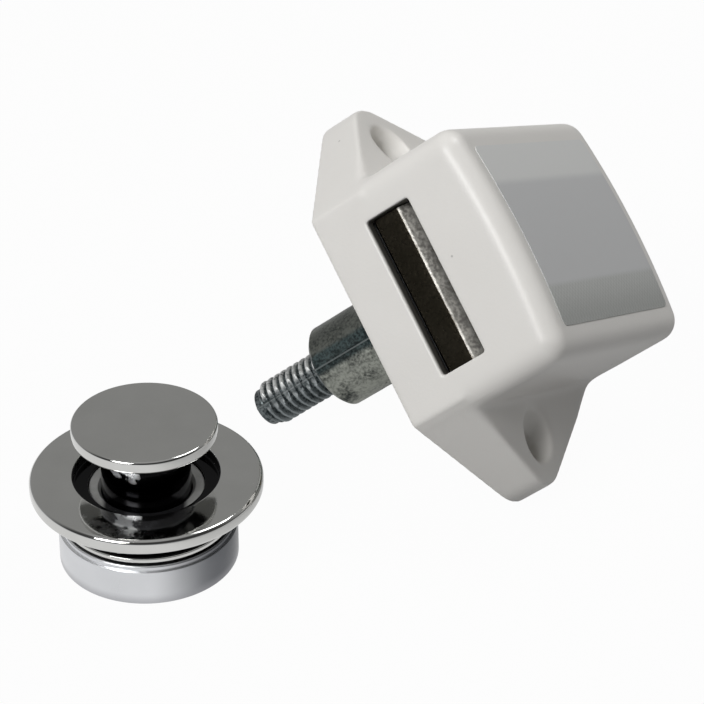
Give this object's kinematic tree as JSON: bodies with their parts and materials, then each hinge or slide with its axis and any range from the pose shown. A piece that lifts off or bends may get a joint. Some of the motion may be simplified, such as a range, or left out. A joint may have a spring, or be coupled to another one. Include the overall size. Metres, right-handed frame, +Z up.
{
  "type": "push button cabinet lock",
  "caption": "Push-to-lock cabinet door lock: a case with screw ears, sliding bolt and threaded plunger, with its chrome push knob and rosette beside it.",
  "frame": {"origin": "centre of the rosette collar's foot, on the surface that the parts lie on", "axes": "+Z up along the knob's axis; +X towards the lock case; the case rests tilted on its lower ear, a rear corner and its stud"},
  "size_m": [0.074, 0.06, 0.0438],
  "materials": {
    "chrome_cap": "polished",
    "chrome_rosette": "polished",
    "collar_metal": "satin plated",
    "bush_plastic": "moulded",
    "case_plastic": "moulded, slight sheen",
    "pad": "thin plain pad",
    "zinc_casting": "mottled zinc casting",
    "bolt_metal": "nickel plated",
    "plate_steel": "zinc plated",
    "screw_steel": "zinc plated",
    "barrel_bush_brass": "turned",
    "frame_plastic": "moulded",
    "cam_plastic": "moulded acetal",
    "clip_steel": "spring steel",
    "pin_steel": "ground",
    "spring_steel": "drawn wire",
    "track_plastic": "moulded acetal",
    "wire_steel": "drawn wire"
  },
  "bodies": {
    "case": {"case_body": "case_plastic", "face_pad": "pad", "base_plate": "plate_steel", "base_plate_screws": "screw_steel", "barrel_bush": "barrel_bush_brass", "guide_frame": "frame_plastic", "heart_track_plate": "track_plastic", "rosette": "chrome_rosette", "rosette_collar": "collar_metal", "knob_guide_bush": "bush_plastic", "return_spring": "spring_steel", "bolt_spring_upper": "spring_steel", "bolt_spring_lower": "spring_steel"},
    "plunger": {"plunger_shaft": "zinc_casting", "cam_block": "cam_plastic", "shaft_clip": "clip_steel"},
    "bolt": {"bolt": "bolt_metal", "bolt_drive_pins": "pin_steel"},
    "knob": {"knob": "chrome_cap"},
    "follower": {"follower_wire": "wire_steel"}
  },
  "joints": [
    {"name": "plunger_slide", "type": "slide", "parent": "case", "child": "plunger", "axis": [0.7652, -0.1391, 0.6286], "range_m": [0, 0.0065], "stiffness_N_per_m": 300, "springref_m": -0.008, "deforming": ["return_spring"]},
    {"name": "bolt_slide", "type": "slide", "parent": "case", "child": "bolt", "axis": [-0.4695, -0.7887, 0.397], "range_m": [0, 0.0065], "deforming": ["bolt_spring_upper", "bolt_spring_lower"]},
    {"name": "knob_slide", "type": "slide", "parent": "case", "child": "knob", "axis": [0, 0, -1], "range_m": [0, 0.0065]},
    {"name": "follower_swing", "type": "hinge", "parent": "plunger", "child": "follower", "pos_m": [0.04069, 0.02589, 0.0209], "axis": [-0.4695, -0.7887, 0.397], "range_deg": [0, 16]}
  ],
  "couplings": [
    {"joint": "bolt_slide", "follows": "plunger_slide", "ratio": 1},
    {"joint": "knob_slide", "follows": "plunger_slide", "ratio": 1},
    {"joint": "follower_swing", "follows": "plunger_slide", "rad_per_m": 42.96}
  ]
}
